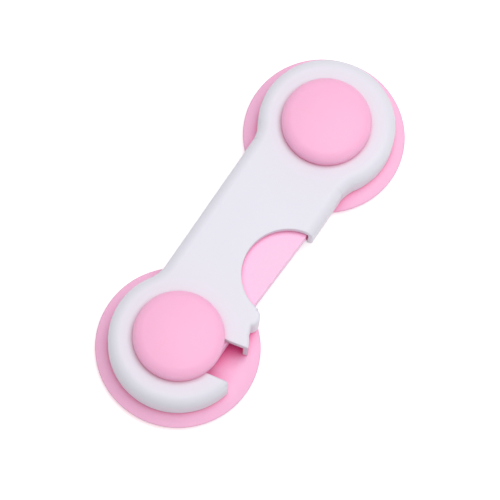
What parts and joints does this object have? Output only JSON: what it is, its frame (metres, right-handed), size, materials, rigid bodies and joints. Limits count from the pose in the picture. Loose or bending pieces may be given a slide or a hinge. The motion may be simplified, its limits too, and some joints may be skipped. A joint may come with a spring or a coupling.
{
  "type": "cabinet safety lock",
  "caption": "Cabinet safety lock: a moulded arm pivots on one round adhesive base, hooks over the capped post of the other and is held by a sprung press lever.",
  "frame": {"origin": "on the hinge axis, on the mounting face of the hinge pad", "axes": "+X from the hinge to the catch, +Y towards the side with the press window and the hook's mouth, +Z away from the mounting surface"},
  "size_m": [0.094, 0.0358, 0.0144],
  "materials": {
    "foam_pad": "closed-cell foam tape",
    "pink_base": "satin moulded",
    "pink_cap": "satin moulded",
    "pink_lever": "satin moulded",
    "white_arm": "satin moulded",
    "white_plate": "satin moulded",
    "screw_steel": "zinc plated",
    "pin_steel": "ground",
    "spring_steel": "drawn wire"
  },
  "bodies": {
    "root": {"hinge_pad": "foam_pad", "hinge_base": "pink_base", "hinge_screw": "screw_steel", "hinge_cap": "pink_cap", "catch_pad": "foam_pad", "catch_base": "pink_base", "catch_screw": "screw_steel", "catch_cap": "pink_cap"},
    "arm": {"arm_shell": "white_arm", "arm_back_plate": "white_plate", "back_plate_screws": "screw_steel", "lever_pivot_pin": "pin_steel", "return_spring": "spring_steel"},
    "lever": {"release_lever": "pink_lever"}
  },
  "joints": [
    {"name": "arm_swing", "type": "hinge", "parent": "root", "child": "arm", "pos_m": [0, 0, 0.0066], "axis": [0, 0, 1], "range_deg": [-180, 0]},
    {"name": "lever_press", "type": "hinge", "parent": "arm", "child": "lever", "pos_m": [0.06207, -0.00968, 0.0063], "axis": [0, 0, 1], "range_deg": [0, 16], "stiffness_Nm_per_rad": 0.12, "springref_deg": -20.05, "deforming": ["return_spring"]}
  ]
}
